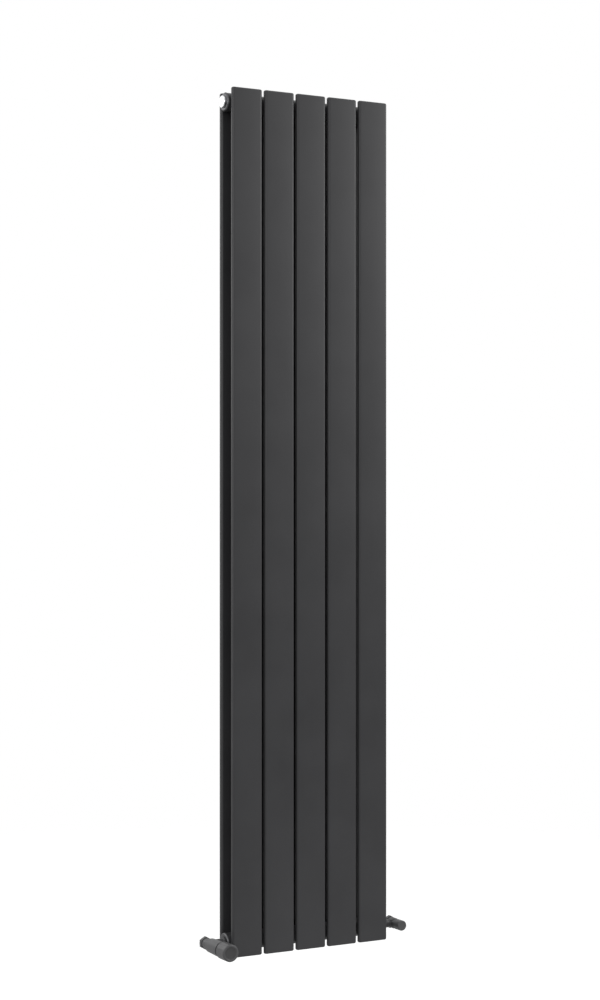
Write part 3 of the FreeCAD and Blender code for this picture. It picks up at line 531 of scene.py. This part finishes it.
@dataclass
class FlatRow:
    """One row of coated flat tubes with rounded long edges and softly rounded ends."""

    row: str
    edge_radius: float = 5.5 * MM
    end_radius: float = 3.5 * MM
    arc_steps: int = 10

    def tube(self, number: int) -> bpy.types.Object:
        """Build one tube with its two end strips as a single coated skin.

        The section is a rounded rectangle, C + r D, with C the corner centres and D the unit
        directions. Towards an end the skin draws in by e = R (1 - sin t) while it rises by R cos t
        short of the end, so the section there is C + (r - e) D.

        Args:
            number: place in the row, from the left.

        Returns:
            The new object.
        """
        low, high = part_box(f"{self.row}_panel_{number}")
        bottom, top = (corner.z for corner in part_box(f"{self.row}_end_strips"))
        middle = (low + high) / 2
        half = np.array([(high.x - low.x) / 2, (high.y - low.y) / 2]) - self.edge_radius
        corners = np.repeat([[1, 1], [-1, 1], [-1, -1], [1, -1]], self.arc_steps, axis=0) * half
        quarter = np.linspace(0, math.pi / 2, self.arc_steps)
        angle = (quarter[None] + np.arange(4)[:, None] * math.pi / 2).reshape(-1)
        direction = np.stack([np.cos(angle), np.sin(angle)], -1)
        rise = np.linspace(0, math.pi / 2, self.arc_steps)
        inset = self.end_radius * (1 - np.sin(rise))
        short = self.end_radius * (1 - np.cos(rise))
        inset = np.concatenate([inset, inset[::-1]])
        height = np.concatenate([bottom + short, (top - short)[::-1]])
        section = corners[None] + (self.edge_radius - inset)[:, None, None] * direction[None]
        count = len(angle)
        levels = np.broadcast_to(height[:, None, None], (len(height), count, 1))
        points = np.concatenate([section + np.array([middle.x, middle.y]), levels], -1).reshape(-1, 3)
        faces = grid_faces(len(height), count, False).tolist()
        near = np.arange(count // 2 - 1)
        cap = np.stack([near, near + 1, count - 2 - near, count - 1 - near], -1)
        faces += cap[:, ::-1].tolist() + (cap + (len(height) - 1) * count).tolist()
        return make_object(f"{self.row}_tube_{number}", points, faces)

    def build(self, dresser: Dresser) -> None:
        """Build and dress every tube of the row."""
        count = sum(node.startswith(self.row + "_panel_") for node in frame["nodes"])
        for number in range(1, count + 1):
            dresser.dress(self.tube(number), "radiator_coat", "radiator",
                          f"{self.row}_panel_{number}", f"{self.row}_end_strips")


@dataclass
class WeldBeads:
    """Coated fillet welds round the port collars and the header ends."""

    bead: float = 0.9 * MM
    collar_radius: float = 8.5 * MM
    ripple: float = 0.16
    ripples: int = 34

    def ring(self, centre: Vector, radius: float, along: Along) -> Shell:
        """One bead: a torus whose section swells and shrinks as the weld pool did.

        Args:
            centre: middle of the ring.
            radius: radius of the ring.
            along: the ring's axis.

        Returns:
            Points and faces.
        """
        turn = np.linspace(0, 2 * math.pi, 10, endpoint=False)
        outline = np.stack([self.bead * np.cos(turn), radius + self.bead * np.sin(turn)], -1)
        count = self.ripples * 3

        def swell(axial: np.ndarray, angle: np.ndarray, distance: np.ndarray) -> np.ndarray:
            """Radius with the ripple added to its distance from the ring's middle line."""
            size = 1 + self.ripple * np.sin(angle * self.ripples)
            return radius + (distance - radius) * size

        return turned_shell(outline, centre, along, segments=count, rule=swell)

    def build(self, dresser: Dresser) -> None:
        """Build the beads of each header as one piece."""
        front_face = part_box("front_panel_1")[1].y
        rear_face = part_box("rear_panel_1")[0].y
        panels = [n for n in frame["nodes"] if n.startswith("front_panel_")]
        middles = sorted((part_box(n)[0].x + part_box(n)[1].x) / 2 for n in panels)
        for level in ("top", "bottom"):
            low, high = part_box(f"{level}_header")
            axis = (low + high) / 2
            shells = [self.ring(Vector((x, y, axis.z)), self.collar_radius, Along.Y)
                      for x in middles for y in (front_face, rear_face)]
            shells += [self.ring(Vector((x, axis.y, axis.z)), (high.z - low.z) / 2 - self.bead * 0.3, Along.X)
                       for x in (low.x, high.x)]
            dresser.dress(make_object(f"{level}_weld_beads", *joined(shells), sharp=60),
                          "radiator_coat", "radiator")


@dataclass
class HeaderEnd:
    """A turned, threaded end ring of a header, left bare outside."""

    level: str
    side: Side
    edge: float = 1.1
    bore_edge: float = 0.8

    def build(self, dresser: Dresser) -> None:
        """Turn the ring with rounded rims and a thread-lead chamfer."""
        node = f"{self.level}_{self.side.name.lower()}_header_end"
        low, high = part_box(node)
        outside = (high.z - low.z) / 2 / MM
        depth = (high.x - low.x) / MM
        bore = 10.3
        flange, spigot = 3.0, outside - 1.6
        face = low if self.side is Side.LEFT else high
        centre = Vector((face.x, (low.y + high.y) / 2, (low.z + high.z) / 2))
        outline = rounded_outline([
            (depth, bore, 0), (self.bore_edge, bore, 0), (0, bore + self.bore_edge, 0),
            (0, outside - self.edge * 2.2, 0.8), (self.edge * 0.4, outside - self.edge, 1.0),
            (self.edge * 1.6, outside, 0.8), (flange, outside, 0), (flange, spigot, 0), (depth, spigot, 0)])
        obj = make_object(node + "_ring", *turned_shell(outline, centre, Along.X, -self.side.value, 96))
        dresser.dress(obj, "machined_steel", "radiator", node)


@dataclass
class ScrewPlug:
    """A chrome plug or air vent with a softly domed flange and a rolled rim."""

    node: str
    side: Side
    bored: bool

    def build(self, dresser: Dresser) -> None:
        """Turn the plug with the groove for its O-ring and a lead chamfer on its thread."""
        low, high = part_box(self.node)
        radius = (high.z - low.z) / 2 / MM
        length = (high.x - low.x) / MM
        outer = low.x if self.side is Side.LEFT else high.x
        centre = Vector((outer, (low.y + high.y) / 2, (low.z + high.z) / 2))
        flange, shank = 5.6, 10.2
        hole, depth = 3.1, 9.4
        front = [(0, 0, 0)]
        if self.bored:
            front = [(depth, 0, 0), (depth, hole, 0), (0.25, hole, 0), (0.0, hole + 0.3, 0.2)]
        outline = rounded_outline(front + [
            (0.35, radius - 2.2, 8.0), (1.0, radius - 0.35, 0.9), (2.0, radius, 0.8), (flange, radius, 0.3),
            (flange, shank + 1.7, 0), (flange - 1.6, shank + 1.7, 0), (flange - 1.6, shank, 0),
            (length - 1.2, shank, 0), (length, shank - 1.2, 0), (length, 0, 0)])
        obj = make_object(self.node + "_plug", *turned_shell(outline, centre, Along.X, -self.side.value, 96))
        dresser.dress(obj, "polished_chrome", "radiator", self.node)


# ------------------------------------------------------------------ the valves


@dataclass
class Valve:
    """The pieces that both valves share, drawn about the crossing of their two axes.

    Axial positions are millimetres in front of the union axis along -Y for pieces round the valve
    axis, and from the valve axis towards the radiator for pieces round the union axis.
    """

    side: Side
    barrel: float = 11.3
    barrel_front: float = 10.0
    barrel_rear: float = 9.2
    chamber: float = 8.9
    branch: float = 8.7
    branch_end: float = 13.1
    tail_flange: float = 32.4
    pipe: float = 7.6

    @property
    def prefix(self) -> str:
        """Start of this valve's node names."""
        return self.side.name.lower() + "_"

    @property
    def crossing(self) -> Vector:
        """Where the valve axis crosses the union axis."""
        nut_low, nut_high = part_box(self.prefix + "compression_nut")
        head_low, head_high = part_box("bottom_header")
        return Vector(((nut_low.x + nut_high.x) / 2, (head_low.y + head_high.y) / 2,
                       (nut_low.z + nut_high.z) / 2))

    def about_valve(self, corners: list[Corner], segments: int = 72,
                    rule: RadiusRule | None = None) -> Shell:
        """Turn an outline about the valve axis, forwards positive."""
        return turned_shell(rounded_outline(corners), self.crossing, Along.Y, -1, segments, rule)

    def about_union(self, corners: list[Corner], segments: int = 72,
                    rule: RadiusRule | None = None) -> Shell:
        """Turn an outline about the union axis, towards the radiator positive."""
        return turned_shell(rounded_outline(corners), self.crossing, Along.X, -self.side.value,
                            segments, rule)

    def body(self) -> bpy.types.Object:
        """The cast body: a barrel with a turned front land, and a branch that flares into it.

        Over the last f millimetres before the barrel the branch's radius grows by
        0.6 f (1 - sqrt(1 - (1 - s)^2)), as a cast fillet does.
        """
        bore = self.pipe
        barrel = self.about_valve([
            (-14.5, bore + 1.4, 0), (-14.5, 10.0, 0.4), (-self.barrel_rear, 10.0, 0),
            (-self.barrel_rear, self.barrel - 1.0, 0.5), (-self.barrel_rear + 1.4, self.barrel, 1.4),
            (self.barrel_front - 2.6, self.barrel, 1.0), (self.barrel_front - 2.2, self.barrel - 0.4, 0.3),
            (self.barrel_front - 0.6, self.barrel - 0.4, 0.4), (self.barrel_front, self.barrel - 1.0, 0.3),
            (self.barrel_front, self.chamber, 0), (-4.8, self.chamber, 0), (-4.8, 5.5, 0), (-8.5, 5.5, 0),
            (-8.5, bore, 0), (-11.5, bore, 0)])
        flare = 2.2
        steps = np.linspace(0, 1, 9)
        root = np.stack([self.branch_end - 1.6 - flare * (1 - steps),
                         self.branch - 0.5 + flare * 0.6 * (1 - np.sqrt(1 - (1 - steps) ** 2)),
                         0 * steps], -1).tolist()
        branch = self.about_union(
            [(7.0, 4.2, 0), (7.0, root[0][1], 0)] + root
            + [(self.branch_end - 1.0, self.branch, 0.3), (self.branch_end, self.branch, 0.4),
               (self.branch_end, 7.0, 0), (19.3, 7.0, 0.3), (19.3, 5.4, 0), (13.8, 5.4, 0), (13.8, 4.2, 0)])
        return make_object(self.prefix + "body_casting", *joined([barrel, branch]))

    def tail(self) -> bpy.types.Object:
        """The union tail: a ring beside the nut, a waisted collar, and the flange against the header."""
        flange = self.tail_flange
        shell = self.about_union([
            (13.9, 4.2, 0), (13.9, 5.3, 0.2), (19.4, 5.3, 0), (19.4, 6.9, 0.2), (21.4, 6.9, 0.2),
            (21.4, 5.8, 0), (24.0, 5.8, 0), (24.0, 8.7, 0.5), (25.2, 8.7, 0.5), (25.8, 8.1, 0.3),
            (flange - 0.8, 8.1, 0.3), (flange, 8.7, 0), (flange, 12.0, 0.3), (flange + 1.2, 12.0, 0.3),
            (flange + 1.2, 10.2, 0), (flange + 14.5, 10.2, 0.6), (flange + 14.5, 4.2, 0)])
        return make_object(self.prefix + "tail_turned", *shell)

    def union_nut(self) -> bpy.types.Object:
        """The slim ring nut: a cylinder cut by two flats, radius min(R, w / |sin t|)."""
        half_flats = 7.8 * MM

        def flats(axial: np.ndarray, angle: np.ndarray, radius: np.ndarray) -> np.ndarray:
            """Radius limited by the two flats on the outside only."""
            limit = half_flats / np.maximum(np.abs(np.cos(angle)), 1e-6)
            return np.where(radius > 7.2 * MM, np.minimum(radius, np.maximum(limit, 7.2 * MM)), radius)

        shell = self.about_union([
            (13.4, 7.05, 0), (13.4, 8.7, 0.5), (23.7, 8.7, 0.5), (23.7, 5.9, 0), (21.5, 5.9, 0),
            (21.5, 7.05, 0)], rule=flats)
        return make_object(self.prefix + "union_ring_nut", *shell)

    def compression_nut(self) -> bpy.types.Object:
        """The hexagon nut: radius min(w / cos(t mod 60 - 30), chamfer cone), with blunted corners."""
        apothem, corner, rear, front = 12.0 * MM, 13.6 * MM, -19.0, -9.5

        def hexagon(axial: np.ndarray, angle: np.ndarray, radius: np.ndarray) -> np.ndarray:
            """Hexagon outside, limited by the chamfer cones at both ends; the bore stays round."""
            wedge = np.mod(angle, math.pi / 3) - math.pi / 6
            flat = np.minimum(apothem / np.cos(wedge), corner)
            return np.where(radius > 11 * MM, np.minimum(radius, flat), radius)

        stations = [(rear, 7.7, 0), (rear, 11.6, 0.4), (rear + 1.3, 13.9, 0)]
        stations += [(rear + 1.3 + step, 13.9, 0) for step in np.linspace(0.4, 6.6, 8).tolist()]
        stations += [(front - 0.9, 13.9, 0), (front, 12.2, 0.3), (front, 10.3, 0), (-16.8, 10.3, 0),
                     (-16.8, 7.7, 0)]
        shell = self.about_valve(stations, 144, hexagon)
        return make_object(self.prefix + "inlet_nut", *shell)

    def build(self, dresser: Dresser) -> None:
        """Build and dress the shared pieces."""
        makers = {"valve_body": self.body, "union_tail": self.tail, "union_nut": self.union_nut,
                  "compression_nut": self.compression_nut}
        for node, make in makers.items():
            dresser.dress(make(), "valve_coat", "radiator", self.prefix + node)


@dataclass
class HandwheelValve(Valve):
    """The left valve: a tapered skirt and a plain round handwheel with a sunk disc."""

    side: Side = Side.LEFT
    wheel: float = 17.8
    wheel_rear: float = 66.5
    wheel_front: float = 101.0
    flutes: int = 20
    flute_depth: float = 0.28

    def skirt(self) -> bpy.types.Object:
        """The skirt: a bevelled shoulder, a soft flare and a rolled front rim."""
        shell = self.about_valve([
            (10.4, 11.1, 0), (10.4, 12.1, 0.6), (13.0, 14.7, 1.4), (36.0, 15.5, 30.0), (57.0, 16.3, 8.0),
            (61.5, 16.4, 0.6), (61.5, 14.8, 0.3), (17.7, 13.1, 0), (17.7, 8.1, 0), (16.1, 8.1, 0),
            (16.1, 13.1, 0), (13.0, 13.1, 0), (12.0, 11.1, 0)])
        return make_object("left_skirt_sleeve", *shell)

    def wheel_shell(self) -> bpy.types.Object:
        """The handwheel: a neck in the skirt, and shallow finger flutes that fade towards both rims.

        The radius loses depth times (1 + cos(n t)) / 2 times a window that is 0 at both rims.
        """
        rear, front, wheel = self.wheel_rear, self.wheel_front, self.wheel
        stations = np.linspace(rear + 4.0, front - 7.0, 16).tolist()

        def fluted(axial: np.ndarray, angle: np.ndarray, radius: np.ndarray) -> np.ndarray:
            """Radius with the flutes cut into the outer wall."""
            place = axial / MM
            window = np.clip((place - rear - 3.0) / 6.0, 0, 1) * np.clip((front - 5.0 - place) / 6.0, 0, 1)
            window = window * window * (3 - 2 * window)
            depth = self.flute_depth * MM * window * (1 + np.cos(angle * self.flutes)) / 2
            return np.where(radius > (wheel - 1.0) * MM, radius - depth, radius)

        shell = self.about_valve(
            [(rear - 7.0, 12.1, 0), (rear - 7.0, 14.3, 0.4), (rear, 14.3, 0.4), (rear, wheel - 1.2, 0.5),
             (rear + 1.6, wheel, 1.0)]
            + [(s, wheel, 0) for s in stations]
            + [(front - 0.2, wheel, 2.4), (front, 13.8, 0.9), (front - 0.9, 12.3, 0.3),
               (front - 2.5, 12.3, 0), (front - 2.5, 3.6, 0), (front - 5.5, 3.6, 0), (front - 5.5, 2.1, 0),
               (front - 7.7, 2.1, 0), (front - 7.7, 3.05, 0), (rear + 4.4, 3.05, 0),
               (rear + 4.4, 6.0, 0.4), (front - 7.7, 6.0, 0.5), (front - 7.7, 12.1, 0.5)], 160, fluted)
        return make_object("left_wheel_shell", *shell)

    def disc(self) -> bpy.types.Object:
        """The plain sunk disc: slightly dished, with a fine rim."""
        front = self.wheel_front - 0.5
        shell = self.about_valve([
            (front - 2.0, 0, 0), (front - 2.0, 12.2, 0.2), (front, 12.2, 0.4), (front, 11.1, 0.3),
            (front - 0.25, 10.8, 0.4), (front - 0.45, 5.0, 6.0), (front - 0.5, 0, 0)], 96)
        return make_object("left_wheel_disc", *shell)

    def build(self, dresser: Dresser) -> None:
        """Build and dress the whole left valve."""
        super().build(dresser)
        dresser.dress(self.skirt(), "valve_coat", "radiator", "left_skirt")
        dresser.dress(self.wheel_shell(), "handwheel_plastic", "left_handwheel", "left_handwheel")
        dresser.dress(self.disc(), "disc_plastic", "left_handwheel", "left_handwheel_disc")


@dataclass
class LockshieldValve(Valve):
    """The right valve: a plain pull-off cap."""

    side: Side = Side.RIGHT
    tail_flange: float = 26.9
    cap: float = 11.0
    cap_rear: float = 16.3
    cap_front: float = 38.0

    def cap_shell(self) -> bpy.types.Object:
        """The cap: a cup with a soft front edge, a shallow ring in its face and a grip rib inside."""
        rear, front, cap = self.cap_rear, self.cap_front, self.cap
        shell = self.about_valve([
            (front - 2.0, 0, 0), (front - 2.0, cap - 1.5, 0.8), (rear + 3.0, cap - 1.5, 0),
            (rear + 3.0, 8.05, 0), (rear, 8.05, 0.3), (rear, cap, 0.6), (rear + 2.2, cap, 0.3),
            (rear + 2.5, cap - 0.3, 0.2), (rear + 3.1, cap - 0.3, 0.2), (rear + 3.4, cap, 0.3),
            (front, cap, 1.8), (front, 7.6, 0.3), (front - 0.3, 7.3, 0.3), (front - 0.45, 3.0, 4.0),
            (front - 0.5, 0, 0)], 96)
        return make_object("right_cap_shell", *shell)

    def build(self, dresser: Dresser) -> None:
        """Build and dress the whole right valve."""
        super().build(dresser)
        dresser.dress(self.cap_shell(), "handwheel_plastic", "right_cap", "right_lockshield_cap")


# ------------------------------------------------------------------ studio


@dataclass(frozen=True)
class SoftBox:
    """A rectangular soft light at a place, turned towards a target, in metres and watts."""

    name: str
    place: Point
    target: Point
    width: float
    height: float
    power: float

    def build(self) -> None:
        """Put the light in the scene."""
        data = bpy.data.lights.new(self.name, "AREA")
        data.shape, data.size, data.size_y, data.energy = "RECTANGLE", self.width, self.height, self.power
        obj = bpy.data.objects.new(self.name, data)
        obj.location = self.place
        obj.rotation_euler = (Vector(self.target) - Vector(self.place)).to_track_quat("-Z", "Y").to_euler()
        bpy.context.scene.collection.objects.link(obj)


LIGHTS = (
    SoftBox("key", (5.2, -3.4, 2.2), (0, 0, 0.3), 2.6, 2.4, 138),
    SoftBox("left_front", (-3.4, -3.2, 1.2), (0, 0, 0), 1.6, 2.4, 38),
    SoftBox("left_rim", (-2.6, 0.9, 0.2), (0, 0, 0), 0.5, 2.4, 16),
    SoftBox("left_back", (-1.8, 2.6, 1.3), (-0.2, 0, 0.8), 1.6, 2.0, 13),
)


@dataclass
class Studio:
    """White studio: a pale floor that fades into a white surround, soft lights and the camera."""

    yaw: float = math.radians(29.28)
    corner_depth: float = 4.240
    corner_offset: float = -0.1385
    eye_height: float = 0.9377
    focal: float = 73.98
    shift: float = 0.00397
    floor_drop: float = 0.15
    floor_radius: float = 3.0
    floor_segments: int = 96
    floor_fade: tuple[float, float] = (0.3, 2.6)
    rise: tuple[float, float] = (-0.5, 0.5)
    sky_light: tuple[float, float] = (0.08, 1.0)

    def camera(self) -> None:
        """Place the camera from the front row's lower left corner: depth ahead and offset to the side."""
        front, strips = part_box("front_panel_1")[0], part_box("front_end_strips")[0]
        ahead = Vector((math.sin(self.yaw), math.cos(self.yaw), 0))
        right = Vector((math.cos(self.yaw), -math.sin(self.yaw), 0))
        corner = Vector((front.x, front.y, strips.z))
        data = bpy.data.cameras.new("camera")
        data.lens, data.sensor_width, data.shift_y = self.focal, 36.0, self.shift
        data.clip_end = 60.0
        camera = bpy.data.objects.new("camera", data)
        camera.location = corner - ahead * self.corner_depth - right * self.corner_offset
        camera.location.z = corner.z + self.eye_height
        camera.rotation_euler = (math.pi / 2, 0, -self.yaw)
        bpy.context.scene.collection.objects.link(camera)
        bpy.context.scene.camera = camera

    def floor(self) -> None:
        """A pale disc below the radiator that dissolves into the surround."""
        level = CAD_BOUNDS[0].z - self.floor_drop
        angle = np.linspace(0, 2 * math.pi, self.floor_segments, endpoint=False)
        rim = np.stack([np.cos(angle), np.sin(angle), 0 * angle], -1) * self.floor_radius
        obj = make_object("floor", rim + np.array([0, 0, level]), [list(range(self.floor_segments))])
        shader = Shader("floor_white")
        shader.set(Base_Color=(0.88, 0.88, 0.88, 1), Roughness=0.8, IOR=1.1,
                   Emission_Color=(1, 1, 1, 1), Emission_Strength=0.35)
        distance = shader.tree.nodes.new("ShaderNodeVectorMath")
        distance.operation = "LENGTH"
        shader.link(shader.placed((0, 0, level)), distance.inputs[0])
        fade = shader.spread(distance.outputs["Value"], 0.4, 0.0, *self.floor_fade)
        shader.link(fade, shader.surface.inputs["Alpha"])
        obj.data.materials.append(shader.material)

    def surround(self) -> None:
        """White world: full white to the eye; as light it is bright above and dim below."""
        world = bpy.data.worlds.new("surround")
        bpy.context.scene.world = world
        world.use_nodes = True
        tree = world.node_tree
        light = tree.nodes["Background"]
        sky = tree.nodes.new("ShaderNodeBackground")
        sky.inputs["Color"].default_value = (1, 1, 1, 1)
        sky.inputs["Strength"].default_value = 1.0
        light.inputs["Color"].default_value = (1, 1, 1, 1)
        direction = tree.nodes.new("ShaderNodeTexCoord").outputs["Generated"]
        parts = tree.nodes.new("ShaderNodeSeparateXYZ")
        tree.links.new(direction, parts.inputs[0])
        strength = mapped(tree, parts.outputs["Z"], self.rise, self.sky_light)
        tree.links.new(strength, light.inputs["Strength"])
        seen = tree.nodes.new("ShaderNodeLightPath")
        mix = tree.nodes.new("ShaderNodeMixShader")
        tree.links.new(seen.outputs["Is Camera Ray"], mix.inputs[0])
        tree.links.new(light.outputs[0], mix.inputs[1])
        tree.links.new(sky.outputs[0], mix.inputs[2])
        tree.links.new(mix.outputs[0], tree.nodes["World Output"].inputs["Surface"])

    def build(self) -> None:
        """Set up camera, floor, surround and lights."""
        self.camera()
        self.floor()
        self.surround()
        for light in LIGHTS:
            light.build()
        bpy.context.scene.view_settings.view_transform = "Standard"


def finishes() -> dict[str, bpy.types.Material]:
    """One material for each slot of the record."""
    valve = Valve(Side.LEFT).crossing
    head_low, head_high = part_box("bottom_header")
    header_axis = (0.0, (head_low.y + head_high.y) / 2, (head_low.z + head_high.z) / 2)
    kinds = {
        "radiator_coat": PowderCoat("radiator_coat", (0.033, 0.033, 0.035)),
        "valve_coat": PowderCoat("valve_coat", (0.06, 0.06, 0.062), drift=0.2, gloss=0.4, peel=900.0,
                                 peel_depth=0.00012, grain=4200.0, grain_depth=0.00003),
        "machined_steel": TurnedMetal("machined_steel", (0.14, 0.14, 0.145), header_axis, Along.X, 0.4),
        "polished_chrome": Chrome("polished_chrome"),
        "black_rubber": Moulding("black_rubber", (0.02, 0.02, 0.02), 0.7),
        "zinc_steel": ZincPlate("zinc_steel"),
        "nylon": Moulding("nylon", (0.72, 0.71, 0.67), 0.45, scatter=0.15),
        "bare_brass": TurnedMetal("bare_brass", (0.72, 0.5, 0.22), tuple(valve), Along.Y, 0.26),
        "handwheel_plastic": Moulding("handwheel_plastic", (0.06, 0.06, 0.062), 0.42, 1300.0, 0.00006),
        "disc_plastic": Moulding("disc_plastic", (0.035, 0.035, 0.036), 0.5, 1500.0, 0.00004),
    }
    return {slot: finish.material() for slot, finish in kinds.items()}


def main() -> None:
    """Build the studio, then every sub-assembly in order."""
    logging.basicConfig(level=logging.INFO, format="%(name)s: %(message)s")
    Studio().build()
    dresser = Dresser(finishes())
    dresser.dress_nodes()
    for row in ("front", "rear"):
        FlatRow(row).build(dresser)
    WeldBeads().build(dresser)
    for level in ("top", "bottom"):
        for side in Side:
            HeaderEnd(level, side).build(dresser)
    ScrewPlug("air_vent", Side.LEFT, True).build(dresser)
    ScrewPlug("blanking_plug", Side.RIGHT, False).build(dresser)
    HandwheelValve().build(dresser)
    LockshieldValve().build(dresser)


if __name__ == "__main__":
    main()
